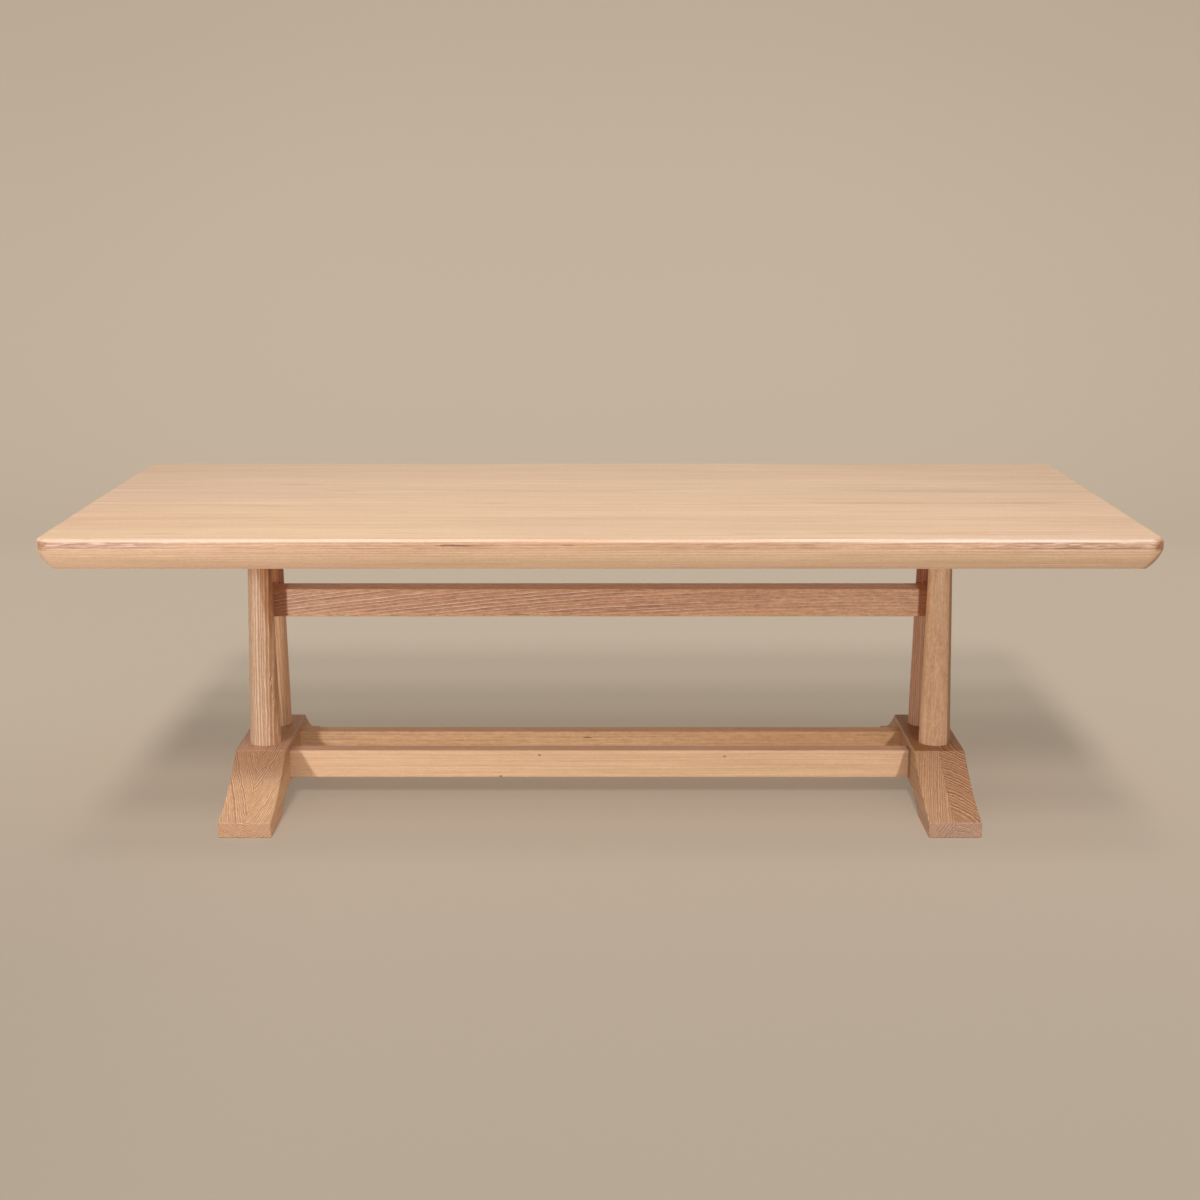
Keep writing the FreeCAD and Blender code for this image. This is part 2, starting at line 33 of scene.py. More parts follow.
# ---------------------------------------------------------------- node helpers
class Tree:
    """Short names for the shader nodes that the materials are made of."""

    def __init__(self, mat):
        mat.use_nodes = True
        self.nt = mat.node_tree
        self.nt.nodes.clear()

    def node(self, kind, **props):
        n = self.nt.nodes.new(kind)
        for k, v in props.items():
            setattr(n, k, v)
        return n

    def put(self, socket, value):
        if value is None:
            return
        if isinstance(value, bpy.types.NodeSocket):
            self.nt.links.new(value, socket)
        elif isinstance(value, (tuple, list)) and socket.type == "RGBA" and len(value) == 3:
            socket.default_value = (*value, 1.0)
        else:
            socket.default_value = value

    def math(self, op, a, b=None, c=None, clamp=False):
        n = self.node("ShaderNodeMath", operation=op, use_clamp=clamp)
        for i, v in enumerate((a, b, c)):
            self.put(n.inputs[i], v)
        return n.outputs[0]

    def add(self, a, b):
        return self.math("ADD", a, b)

    def sub(self, a, b):
        return self.math("SUBTRACT", a, b)

    def mul(self, a, b):
        return self.math("MULTIPLY", a, b)

    def vmath(self, op, a, b=None, scale=None):
        n = self.node("ShaderNodeVectorMath", operation=op)
        self.put(n.inputs[0], a)
        if b is not None:
            self.put(n.inputs[1], b)
        if scale is not None:
            self.put(n.inputs["Scale"], scale)
        return n.outputs["Value"] if op in ("LENGTH", "DOT_PRODUCT", "DISTANCE") else n.outputs[0]

    def xyz(self, v):
        n = self.node("ShaderNodeSeparateXYZ")
        self.put(n.inputs[0], v)
        return n.outputs[0], n.outputs[1], n.outputs[2]

    def vec(self, x, y, z):
        n = self.node("ShaderNodeCombineXYZ")
        for i, v in enumerate((x, y, z)):
            self.put(n.inputs[i], v)
        return n.outputs[0]

    def noise(self, v, scale=1.0, detail=2.0, rough=0.5, distort=0.0, colour=False):
        n = self.node("ShaderNodeTexNoise", noise_dimensions="3D")
        self.put(n.inputs["Vector"], v)
        n.inputs["Scale"].default_value = scale
        n.inputs["Detail"].default_value = detail
        n.inputs["Roughness"].default_value = rough
        n.inputs["Distortion"].default_value = distort
        return n.outputs["Color"] if colour else n.outputs["Fac"]

    def noise1(self, w, scale=1.0, detail=2.0):
        n = self.node("ShaderNodeTexNoise", noise_dimensions="1D")
        self.put(n.inputs["W"], w)
        n.inputs["Scale"].default_value = scale
        n.inputs["Detail"].default_value = detail
        return n.outputs["Fac"]

    def chance(self, w):
        n = self.node("ShaderNodeTexWhiteNoise", noise_dimensions="1D")
        self.put(n.inputs["W"], w)
        return n.outputs["Value"]

    def ramp(self, fac, stops, interp="LINEAR"):
        n = self.node("ShaderNodeValToRGB")
        n.color_ramp.interpolation = interp
        el = n.color_ramp.elements
        while len(el) < len(stops):
            el.new(0.5)
        for e, (p, v) in zip(el, stops):
            e.position = p
            e.color = (v, v, v, 1) if isinstance(v, (int, float)) else (*v, 1)
        self.put(n.inputs[0], fac)
        return n.outputs[0]

    def step(self, v, lo, hi, to_lo=0.0, to_hi=1.0, smooth=True):
        n = self.node("ShaderNodeMapRange", clamp=True,
                      interpolation_type="SMOOTHSTEP" if smooth else "LINEAR")
        for i, x in enumerate((v, lo, hi, to_lo, to_hi)):
            self.put(n.inputs[i], x)
        return n.outputs[0]

    def mix(self, fac, a, b, blend="MIX"):
        n = self.node("ShaderNodeMix", data_type="RGBA", blend_type=blend, clamp_factor=True)
        self.put(n.inputs[0], fac)
        self.put(n.inputs[6], a)
        self.put(n.inputs[7], b)
        return n.outputs[2]

    def hsv(self, colour, hue=0.5, sat=1.0, val=1.0):
        n = self.node("ShaderNodeHueSaturation")
        self.put(n.inputs["Hue"], hue)
        self.put(n.inputs["Saturation"], sat)
        self.put(n.inputs["Value"], val)
        self.put(n.inputs["Color"], colour)
        return n.outputs[0]

    def finish(self, colour, rough, height, bump, spec=0.4, metal=0.0):
        out = self.node("ShaderNodeOutputMaterial")
        sh = self.node("ShaderNodeBsdfPrincipled")
        self.put(sh.inputs["Base Color"], colour)
        self.put(sh.inputs["Roughness"], rough)
        sh.inputs["Metallic"].default_value = metal
        sh.inputs["Specular IOR Level"].default_value = spec
        if height is not None:
            b = self.node("ShaderNodeBump")
            b.inputs["Strength"].default_value = bump[0]
            b.inputs["Distance"].default_value = bump[1]
            self.put(b.inputs["Height"], height)
            self.nt.links.new(b.outputs[0], sh.inputs["Normal"])
        self.nt.links.new(sh.outputs[0], out.inputs[0])
        return sh


# ---------------------------------------------------------------- limed oak
# One solid wood: growth rings about a pith line, in the frame of the table, so
# that faces, edges and end grain of a piece all belong together. The open early
# wood of each ring is a brown line, and the lime left in its vessels is pale.
X_AXIS, Y_AXIS, Z_AXIS = (1.0, 0.0, 0.0), (0.0, 1.0, 0.0), (0.0, 0.0, 1.0)


def oak(name, axis, pith, seed, light, dark, lime, ring=0.0045, ring_amount=0.6, lime_amount=0.5,
        cover=0.35, streak=0.10, tilt=(0.0, 0.0), curve=(0.0, 0.0), wander=0.010, fleck=0.0,
        spacing_noise=1.6, marks=(), joints=(), rough=0.46, bands=(), dashes=(), tone=0.06, edge=None,
        uneven=0.30, wavy=0.0022, wave_rate=6.0, wave_across=30.0, thread_scale=140.0, width=1.0, toe=None, tints=(),
        grit=0.03, spec=0.42, calm=None, plain_and_painted_light=()):
    mat = bpy.data.materials.new(name)
    t = Tree(mat)
    pos = t.node("ShaderNodeTexCoord").outputs["Object"]
    x, y, z = t.xyz(pos)
    along, a, b = {"X": (x, y, z), "Y": (y, x, z), "Z": (z, x, y)}[axis]

    def spread(fac):
        """A noise as a signed amount, nearly all of it between -1 and 1."""
        return t.step(fac, 0.30, 0.70, -1.0, 1.0, smooth=False)

    def within(v, lo, hi, soft):
        return t.mul(t.step(v, lo - soft, lo + soft), t.step(v, hi - soft, hi + soft, 1.0, 0.0))

    # distances across the grain, wandering slowly along it
    ls = t.add(along, seed * 7.31)
    slow = t.noise(t.vec(t.mul(ls, 0.9), t.mul(a, 4.0), t.mul(b, 4.0)), 1.0, 2.0, 0.5, colour=True)
    quick = t.noise(t.vec(t.mul(ls, wave_rate), t.mul(a, wave_across), t.mul(b, wave_across)), 1.0, 2.0, 0.5, colour=True)
    s1, s2, _ = t.xyz(slow)
    q1, q2, _ = t.xyz(quick)

    def across(c, pith_c, tilt_c, curve_c, s, q):
        v = t.sub(t.sub(c, pith_c), t.mul(along, tilt_c))
        if curve_c:
            v = t.sub(v, t.mul(t.mul(along, along), curve_c))
        v = t.add(v, t.mul(t.sub(s, 0.5), 2.0 * wander))
        return t.add(v, t.mul(t.sub(q, 0.5), wavy))

    aw = across(a, pith[0], tilt[0], curve[0], s1, q1)
    bw = across(b, pith[1], tilt[1], curve[1], s2, q2)
    radius = t.math("SQRT", t.add(t.mul(aw, aw), t.mul(bw, bw)))
    if toe is not None:
        # the low end block of a foot comes from another place in the log
        limit, toe_pith = toe
        ta = across(a, toe_pith[0], 0.0, 0.0, s1, q1)
        tb = across(b, toe_pith[1], 0.0, 0.0, s2, q2)
        end = t.math("SQRT", t.add(t.mul(ta, ta), t.mul(tb, tb)))
        radius = t.add(radius, t.mul(t.step(z, limit + 0.0006, limit - 0.0006), t.sub(end, radius)))

    # growth rings of uneven width, each with its own strength
    turns = t.add(t.math("DIVIDE", radius, ring),
                  t.mul(t.noise1(t.add(radius, seed), 55.0, 2.0), spacing_noise))
    year = t.math("FLOOR", turns)
    part = t.math("FRACT", turns)
    strength = t.step(t.chance(t.add(year, seed * 3.7)), 0.0, 1.0, uneven, 1.0, smooth=False)
    w = width
    early = t.mul(t.ramp(part, ((0.0, 0.10), (0.10 * w, 1.0), (0.30 * w, 0.80), (0.56 * w, 0.0), (1.0, 0.10)), "EASE"), strength)
    late = t.mul(t.ramp(part, ((0.0, 0.40 * w), (0.26 * w, 0.10), (0.60 * w, 1.0), (0.88 * w, 0.32), (1.0, 0.40 * w)), "EASE"), strength)

    if calm is not None:
        # the figure dies away toward one end
        k = t.step(along, calm[0], calm[1], 1.0, calm[2])
        early, late = t.mul(early, k), t.mul(late, k)

    # vessels: short dashes along the grain, close together in the early wood
    fine = t.noise(t.vec(t.mul(ls, 42.0), t.mul(aw, 950.0), t.mul(bw, 950.0)), 1.0, 1.0, 0.5)
    coarse = t.noise(t.vec(t.mul(ls, 16.0), t.mul(aw, 260.0), t.mul(bw, 260.0)), 1.0, 2.0, 0.55)
    vessels = t.math("MAXIMUM", t.mul(t.step(fine, 0.54, 0.70), 0.8), t.step(coarse, 0.50, 0.66))
    filled = t.add(cover, t.mul(vessels, 1.0 - cover))
    pores = t.mul(filled, early)

    # tone: slow clouds, long streaks, short flecks of ray, fine grit
    cloud = t.noise(t.vec(t.mul(ls, 1.1), t.mul(a, 9.0), t.mul(b, 9.0)), 1.0, 3.0, 0.55)
    thread = t.noise(t.vec(t.mul(ls, 2.6), t.mul(aw, thread_scale), t.mul(bw, thread_scale)), 1.0, 3.0, 0.6)
    value = t.add(1.0, t.add(t.mul(spread(cloud), tone), t.mul(spread(thread), streak)))
    if fleck:
        ray = t.noise(t.vec(t.mul(ls, 34.0), t.mul(a, 210.0), t.mul(b, 210.0)), 1.0, 2.0, 0.55, distort=0.3)
        value = t.add(value, t.mul(spread(ray), fleck))
    if grit:
        dust = t.noise(t.vec(t.mul(ls, 110.0), t.mul(a, 240.0), t.mul(b, 240.0)), 1.0, 1.0, 0.5)
        value = t.add(value, t.mul(spread(dust), grit))

    # darker wood is also redder
    shading = t.vec(value, t.math("POWER", value, 1.25), t.math("POWER", value, 1.55))

    colour = t.mix(t.mul(late, ring_amount), light, dark)
    limed = t.mul(pores, lime_amount)
    if edge is not None:
        # below the arris the wood is browner than the paler face above; this sharp limit also shapes the pale arris
        # band, which is partly painted highlight
        limit, edge_light, edge_dark = edge
        low = t.step(z, limit + 0.0007, limit - 0.0007)
        colour = t.mix(low, colour, t.mix(t.mul(late, ring_amount), edge_light, edge_dark))

    def belt_of(lo, hi, soft, amount, reach):
        v = t.mul(t.sub(t.noise(t.vec(t.mul(ls, 5.0), t.mul(a, 20.0), t.mul(b, 20.0)), 1.0, 3.0, 0.6), 0.5), soft * 1.8)
        f = within(t.add(z, v), lo, hi, soft)
        patch = t.step(t.noise(t.vec(t.mul(ls, 2.3), t.mul(a, 3.0), t.mul(b, 3.0)), 1.0, 2.0, 0.5), 0.38, 0.62)
        f = t.mul(t.mul(f, t.add(0.45, t.mul(patch, 0.55))), t.step(y, -0.580, -0.558, amount, 0.0))
        if reach is not None:
            f = t.mul(f, t.mul(t.step(along, reach[0], reach[1]), t.step(along, reach[2], reach[3], 1.0, 0.0)))
        return f

    for lo, hi, soft, band_colour, amount, reach in bands:
        # a darker belt of figure at one height, with a wavy limit
        figure = t.noise(t.vec(t.mul(ls, 16.0), t.mul(a, 160.0), t.mul(b, 300.0)), 1.0, 3.0, 0.6, distort=0.4)
        f = t.mul(belt_of(lo, hi, soft, amount, reach), t.step(figure, 0.36, 0.62, 0.10, 1.2))
        colour = t.mix(f, colour, band_colour)
    colour = t.mix(1.0, colour, shading, "MULTIPLY")
    hue = t.add(0.5, t.mul(t.sub(t.noise(t.vec(t.mul(ls, 0.8), t.mul(a, 6.0), t.mul(b, 6.0)), 1.0, 2.0, 0.5), 0.5), 0.030))
    colour = t.hsv(colour, hue)
    colour = t.mix(limed, colour, lime)
    for lo, hi, soft, dash_colour, amount, reach in dashes:
        # lime left in broken lines along a belt
        broken = t.noise(t.vec(t.mul(ls, 20.0), t.mul(a, 150.0), t.mul(t.sub(b, t.mul(along, 0.03)), 420.0)), 1.0, 2.0, 0.6, distort=0.3)
        f = t.mul(belt_of(lo, hi, soft, amount, reach), t.step(broken, 0.54, 0.64))
        colour = t.mix(f, colour, dash_colour)

    def region(limits):
        f = None
        for normal, lo, hi, soft in limits:
            g = within(t.vmath("DOT_PRODUCT", pos, normal), lo, hi, soft)
            f = g if f is None else t.mul(f, g)
        return f

    # parts of a piece with little figure, and a face made paler as painted light: their colour, how plain, limits
    for plain_colour, amount, limits in plain_and_painted_light:
        colour = t.mix(t.mul(region(limits), amount), colour, t.mix(1.0, plain_colour, shading, "MULTIPLY"))

    # parts of a piece that run lighter, darker or redder, many of them painted light and shade and some the wood's own
    # tone: colour factors, limits
    for k, limits in tints:
        colour = t.mix(1.0, colour, t.mix(region(limits), (1.0, 1.0, 1.0), k), "MULTIPLY")

    # small knots and dark streaks: centre, half sizes, colour, amount
    dent = None
    for centre, half, mark_colour, amount in marks:
        wob = t.vmath("SCALE", t.vmath("SUBTRACT", t.noise(pos, 70.0, 2.0, 0.5, colour=True), (0.5, 0.5, 0.5)), scale=0.9)
        d = t.vmath("DIVIDE", t.vmath("SUBTRACT", pos, centre), half)
        m = t.mul(t.step(t.vmath("LENGTH", t.vmath("ADD", d, wob)), 1.0, 0.35), amount)
        colour = t.mix(m, colour, mark_colour)
        dent = m if dent is None else t.math("MAXIMUM", dent, m)

    # glue lines and joint lines, one of them painted shade in a joint gap: axis, place, half width, strength
    for j_axis, place, half, deep in joints:
        c = {"X": x, "Y": y, "Z": z}[j_axis]
        line = t.step(t.math("ABSOLUTE", t.sub(c, place)), half, half * 0.3)
        colour = t.mix(t.mul(line, deep), colour, tuple(v * 0.45 for v in dark))

    roughness = t.add(rough, t.add(t.mul(pores, 0.16), t.mul(t.sub(cloud, 0.5), 0.12)))
    height = t.sub(t.mul(early, -0.25), t.mul(t.mul(vessels, early), 0.6))
    if dent is not None:
        height = t.sub(height, t.mul(dent, 0.5))
    t.finish(colour, roughness, height, (0.35, 0.0006), spec=spec)
    return mat


# ---------------------------------------------------------------- steel fittings
def zinc(name, seed):
    mat = bpy.data.materials.new(name)
    t = Tree(mat)
    pos = t.node("ShaderNodeTexCoord").outputs["Object"]
    spangle = t.noise(pos, 420.0, 3.0, 0.6)
    tint = t.noise(t.vmath("ADD", pos, (seed, 0, 0)), 60.0, 2.0, 0.5)
    colour = t.mix(spangle, (0.50, 0.50, 0.50), (0.72, 0.71, 0.68))
    colour = t.mix(t.mul(tint, 0.4), colour, (0.66, 0.60, 0.46))
    t.finish(colour, t.add(0.26, t.mul(spangle, 0.22)), spangle, (0.15, 0.0002), spec=0.5, metal=1.0)
    return mat


def times(colour, k):
    return tuple(c * f for c, f in zip(colour, k if isinstance(k, tuple) else (k, k, k)))


TOP_LIGHT, TOP_DARK, TOP_LIME = (0.755, 0.512, 0.337), (0.580, 0.345, 0.208), (0.850, 0.650, 0.515)
EDGE_LIGHT, EDGE_DARK = (0.668, 0.432, 0.270), (0.494, 0.290, 0.170)
HONEY_LIGHT, HONEY_DARK, HONEY_LIME = (0.715, 0.455, 0.272), (0.555, 0.315, 0.172), (0.800, 0.585, 0.440)
POST_LIGHT, POST_DARK, POST_LIME = (0.560, 0.328, 0.190), (0.230, 0.106, 0.053), (0.900, 0.715, 0.570)
FOOT_LIGHT, FOOT_DARK, FOOT_LIME = (0.470, 0.267, 0.154), (0.220, 0.105, 0.055), (0.830, 0.630, 0.485)
RED_LIGHT, RED_DARK, RED_LIME = (0.532, 0.281, 0.157), (0.215, 0.086, 0.046), (0.900, 0.700, 0.570)
KNOT = (0.085, 0.036, 0.018)
FAR = 9.0

mats = {}

# staves of the top: grain along X, each from its own place in the log
stave_pith = [(-0.52, 0.64), (-0.36, 0.60), (-0.23, 0.90), (-0.10, 0.62), (0.10, 0.88), (0.20, 0.60), (0.40, 0.92), (0.50, 0.62)]
stave_tint = [1.00, 0.985, 1.01, 1.0, 0.98, 1.01, 0.99, 0.985]
cuts = []
for i in range(8):
    lo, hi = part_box("tabletop_board_%d" % (i + 1))
    cuts.append(hi.y)
for i in range(8):
    k = times((1.0, 1.0, 1.0) if i < 4 else (1.0, 1.015, 1.045), stave_tint[i])
    lines = [("Y", cuts[j], 0.0004, 0.5) for j in (i - 1, i) if 0 <= j < 7]
    marks, bands, dashes = [], [], []
    tints = []
    if i < 3:
        part = 1.0 if i < 2 else 0.5
        # painted shade: the top face of the three front staves is made darker in the middle and a little darker and
        # warmer toward the left end, to even out how the lamps light it
        tints = [(tuple(1.0 - part * (1.0 - c) for c in (0.930, 0.922, 0.920)), [(X_AXIS, -0.45, 0.55, 0.35), (Z_AXIS, 0.7492, FAR, 0.0004)]),
                 (tuple(1.0 - part * (1.0 - c) for c in (1.000, 0.975, 0.945)), [(X_AXIS, -FAR, -0.55, 0.30), (Z_AXIS, 0.7492, FAR, 0.0004)])]
    if i == 0:
        left_end, right_end = (-1.258, -1.215, -1.06, -0.92), (0.80, 1.00, 1.30, 1.35)
        marks = [((-0.326, -0.595, 0.7360), (0.058, 0.03, 0.0026), KNOT, 0.92),
                 ((-0.300, -0.595, 0.7350), (0.085, 0.03, 0.0050), (0.30, 0.14, 0.07), 0.55),
                 ((-0.072, -0.595, 0.7365), (0.022, 0.03, 0.0022), (0.20, 0.09, 0.045), 0.7)]
        bands = [(0.7300, 0.7430, 0.0014, (0.345, 0.180, 0.100), 0.40, None),
                 (0.7300, 0.7430, 0.0014, (0.300, 0.140, 0.080), 0.55, left_end),
                 (0.7300, 0.7430, 0.0014, (0.300, 0.140, 0.080), 0.45, right_end),
                 (0.7282, 0.7304, 0.0010, (0.270, 0.130, 0.070), 0.55, None),
                 (0.7280, 0.7308, 0.0008, (0.210, 0.095, 0.050), 0.80, right_end)]
        dashes = [(0.7310, 0.7425, 0.0012, (0.850, 0.620, 0.470), 0.35, None),
                  (0.7240, 0.7425, 0.0012, (0.920, 0.740, 0.620), 0.70, left_end),
                  (0.7310, 0.7425, 0.0012, (0.920, 0.740, 0.620), 0.55, right_end)]
        front, corner = (Y_AXIS, -FAR, -0.5800, 0.002), (Y_AXIS, -FAR, -0.5400, 0.018)
        arris, upright = (Z_AXIS, 0.7434, 0.7495, 0.0004), (Z_AXIS, 0.7228, 0.7434, 0.0009)
        # painted highlight: the rounded arris of the front stave is tinted bluer all along, and paler and bluer toward
        # the right end, so that it looks like a whitish sheen
        tints += [((0.89, 0.85, 0.92), [front, arris]),
                 ((1.06, 1.22, 1.34), [front, arris, (X_AXIS, 0.35, FAR, 0.40)]),
                 # painted shade: the upright front band is made darker than the top, lighter toward the right and
                 # darker toward the left end, following how the light falls on it
                 ((0.79, 0.72, 0.66), [front, upright]),
                 ((1.09, 1.12, 1.17), [front, upright, (X_AXIS, 0.45, FAR, 0.40)]),
                 ((0.88, 0.84, 0.82), [front, upright, (X_AXIS, -FAR, -1.02, 0.06)]),
                 ((0.94, 0.93, 0.92), [front, upright, (X_AXIS, -0.55, 0.45, 0.25)]),
                 # painted shade: at the right corner the arris and edge are darkened where the highlight stops, and the
                 # rounded right end face is darkened as if in shadow
                 ((0.84, 0.68, 0.56), [corner, (X_AXIS, 1.2300, FAR, 0.007), (Z_AXIS, 0.7228, 0.7492, 0.0008)]),
                 ((0.72, 0.62, 0.54), [corner, ((1.0, 0.0, -0.764), 0.6925, FAR, 0.004), (Z_AXIS, -FAR, 0.7440, 0.0015)])]
    mats["tabletop_board_%d" % (i + 1)] = oak(
        "oak_top_%d" % (i + 1), "X", stave_pith[i], 1.7 + i * 2.3,
        times(TOP_LIGHT, k), times(TOP_DARK, k), TOP_LIME,
        ring=0.0056, ring_amount=0.62, lime_amount=0.55, cover=0.3, streak=0.072, wander=0.014, tone=0.03, fleck=0.025, grit=0.045,
        thread_scale=60.0, marks=marks, joints=lines, bands=bands, dashes=dashes, tints=tints, rough=0.43,
        edge=(0.7434, times(EDGE_LIGHT, k), times(EDGE_DARK, k)))

mats["front_lower_stretcher"] = oak(
    "oak_front_lower_stretcher", "X", (-0.30, 0.30), 31.0, HONEY_LIGHT, HONEY_DARK, HONEY_LIME,
    ring=0.0050, ring_amount=0.45, lime_amount=0.30, cover=0.3, streak=0.08, wander=0.008, tone=0.03, fleck=0.04,
    # painted shade: a wide dark line where the stretcher meets the right foot stands in for the shade in the joint gap
    joints=[("X", 0.7791, 0.0070, 0.85)],
    # painted light: the top face is made greyer and pinker, as the light from above and behind falls on it
    tints=[((0.91, 0.82, 0.85), [(Z_AXIS, 0.1226, FAR, 0.0005)])],
    marks=[((-0.152, -0.110, 0.1115), (0.0050, 0.012, 0.0040), KNOT, 0.75),
           ((-0.250, -0.110, 0.0555), (0.0055, 0.012, 0.0038), KNOT, 0.75),
           ((0.3135, -0.110, 0.1080), (0.0050, 0.012, 0.0034), KNOT, 0.70)])
mats["rear_lower_stretcher"] = oak(
    "oak_rear_lower_stretcher", "X", (0.30, 0.35), 37.0, (0.690, 0.411, 0.230), (0.520, 0.280, 0.142), HONEY_LIME,
    ring=0.0050, ring_amount=0.50, lime_amount=0.28, cover=0.3, streak=0.11, wander=0.008, tone=0.05, fleck=0.10, grit=0.05,
    # the second tint is painted light: the top face is made greyer and pinker, as the light falls on it
    tints=[((0.93, 0.86, 0.79), [(X_AXIS, 0.35, FAR, 0.25)]), ((1.00, 0.90, 0.92), [(Z_AXIS, 0.1226, FAR, 0.0005)])],
    marks=[((-0.0312, 0.064, 0.1076), (0.016, 0.012, 0.0024), (0.16, 0.06, 0.025), 0.85)])
mats["upper_stretcher"] = oak(
    "oak_upper_stretcher", "X", (0.05, 0.95), 41.0, RED_LIGHT, RED_DARK, RED_LIME,
    ring=0.0086, ring_amount=0.85, lime_amount=1.00, cover=0.50, streak=0.12, wander=0.014, width=0.52, calm=(0.0, 0.50, 0.40),
    tilt=(0.0, 0.068), curve=(0.0, -0.045), spacing_noise=1.1, wavy=0.0045, wave_rate=9.0, uneven=0.45, fleck=0.16, grit=0.11,
    thread_scale=170.0,
    plain_and_painted_light=[((0.570, 0.300, 0.155), 0.60, [(Z_AXIS, 0.5140, 0.5210, 0.0012)]),
           ((0.580, 0.310, 0.158), 0.65, [(Z_AXIS, 0.4400, 0.4620, 0.0025)]),
           # painted light: the top face of the rail is made much paler, to stand in for light that the tabletop keeps
           # off it
           ((0.945, 0.605, 0.465), 0.80, [(Z_AXIS, 0.5213, FAR, 0.0005)])],
    marks=[((px, -0.039, pz), (half, 0.012, 0.0019), (0.21, 0.082, 0.046), amount) for px, pz, half, amount in (
        (-0.213, 0.4576, 0.050, 0.60), (-0.105, 0.4650, 0.060, 0.45), (0.045, 0.4668, 0.048, 0.65), (0.125, 0.4780, 0.055, 0.55),
        (0.205, 0.4848, 0.055, 0.50), (0.300, 0.4902, 0.060, 0.45), (0.385, 0.4962, 0.045, 0.35))],
    # painted shadow: the ends of the rail, behind the front posts, are darkened and reddened where the posts' shadows
    # fall
    tints=[((0.80, 0.60, 0.50), [(X_AXIS, -FAR, -0.7860, 0.004)]),
           ((0.82, 0.62, 0.51), [(X_AXIS, 0.7990, FAR, 0.004)])])

mats["front_left_post"] = oak(
    "oak_front_left_post", "Z", (-1.0830, -0.0240), 43.0, POST_LIGHT, POST_DARK, POST_LIME,
    ring=0.0056, ring_amount=0.60, lime_amount=0.85, cover=0.36, streak=0.10, wavy=0.0056, wave_rate=14.0, wave_across=45.0, uneven=0.50, grit=0.08,
    marks=[((mx, -0.114, mz), (0.0017, 0.030, half), colour, amount) for mx, mz, half, colour, amount in (
        (-0.8215, 0.3210, 0.0085, (0.80, 0.60, 0.46), 0.55), (-0.8175, 0.3100, 0.0075, (0.80, 0.60, 0.46), 0.60),
        (-0.8200, 0.2985, 0.0070, (0.80, 0.60, 0.46), 0.50), (-0.8165, 0.2640, 0.0070, (0.80, 0.60, 0.46), 0.50),
        (-0.8135, 0.2550, 0.0065, (0.80, 0.60, 0.46), 0.60), (-0.8160, 0.2450, 0.0065, (0.80, 0.60, 0.46), 0.45),
        (-0.8195, 0.3130, 0.0110, (0.24, 0.105, 0.050), 0.60), (-0.8180, 0.2860, 0.0120, (0.24, 0.105, 0.050), 0.60),
        (-0.8150, 0.2580, 0.0080, (0.24, 0.105, 0.050), 0.55), (-0.8140, 0.2330, 0.0090, (0.24, 0.105, 0.050), 0.45))],
    # painted shade: the right side of this post, more so high up, and its top under the tabletop are made darker and
    # redder
    tints=[((0.97, 0.87, 0.76), [((1.0, 0.0, 0.0103), -0.8238, FAR, 0.003)]),
           ((0.80, 0.66, 0.56), [((1.0, 0.0, 0.1695), -0.7470, FAR, 0.003), (Z_AXIS, 0.43, FAR, 0.05)]),
           ((0.84, 0.74, 0.65), [(Z_AXIS, 0.565, FAR, 0.022)])])
mats["rear_left_post"] = oak(
    "oak_rear_left_post", "Z", (-0.80, 0.24), 47.0, times(POST_LIGHT, (1.18, 1.12, 1.02)), times(POST_DARK, 1.2), POST_LIME, ring=0.0055,
    ring_amount=0.6, lime_amount=0.45, fleck=0.08, wavy=0.004, wave_rate=10.0,
    # painted shade: the top of this post, under the tabletop, is made dark and red
    tints=[((0.54, 0.345, 0.215), [(Z_AXIS, 0.468, FAR, 0.034)])])
mats["front_right_post"] = oak(
    "oak_front_right_post", "Z", (0.86, 0.16), 53.0, times(POST_LIGHT, (0.97, 0.94, 0.90)), times(POST_LIGHT, 0.70), POST_LIME,
    ring=0.0050, ring_amount=0.16, lime_amount=0.34, cover=0.05, streak=0.04, fleck=0.10, grit=0.09, tone=0.03,
    # painted shade and highlight: the right rim of this post is made dark and its left rim much paler, as if lit from
    # the left
    tints=[((0.60, 0.50, 0.42), [((1.0, 0.0, 0.01715), 0.8716, FAR, 0.0020)]),
           ((1.30, 1.32, 1.38), [((1.0, 0.0, -0.0172), -FAR, 0.8120, 0.004)])])
# painted light: this post's base colour is made lighter to make up for the shade it stands in; its top, under the
# tabletop, is painted shade
mats["rear_right_post"] = oak(
    "oak_rear_right_post", "Z", (0.72, 0.10), 59.0, (0.66, 0.358, 0.204), (0.40, 0.186, 0.101), POST_LIME, ring=0.0055,
    ring_amount=0.7, lime_amount=0.5, fleck=0.08, wavy=0.004, wave_rate=10.0,
    tints=[((0.69, 0.40, 0.28), [(Z_AXIS, 0.468, FAR, 0.034)])])

# feet: two laminations each, end grain to the front
left_tints = [((0.83, 0.755, 0.66), [(Z_AXIS, 0.1020, 0.1500, 0.016), (Z_AXIS, -FAR, 0.1398, 0.0005)]),
              ((1.14, 1.15, 1.06), [(Z_AXIS, 0.0385, 0.0900, 0.012)]),
              ((0.97, 0.90, 0.86), [(Z_AXIS, -FAR, 0.0380, 0.0006)]),
              # painted light: the flat top of the left foot is made paler
              ((1.21, 1.18, 1.19), [(Z_AXIS, 0.1400, FAR, 0.0005)])]
# the first tint is painted shade: the flat top of the right foot is made dark and red
right_tints = [((0.71, 0.49, 0.27), [(Z_AXIS, 0.1400, FAR, 0.0005)]),
               ((0.84, 0.81, 0.89), [(Z_AXIS, -FAR, 0.0380, 0.0006)])]
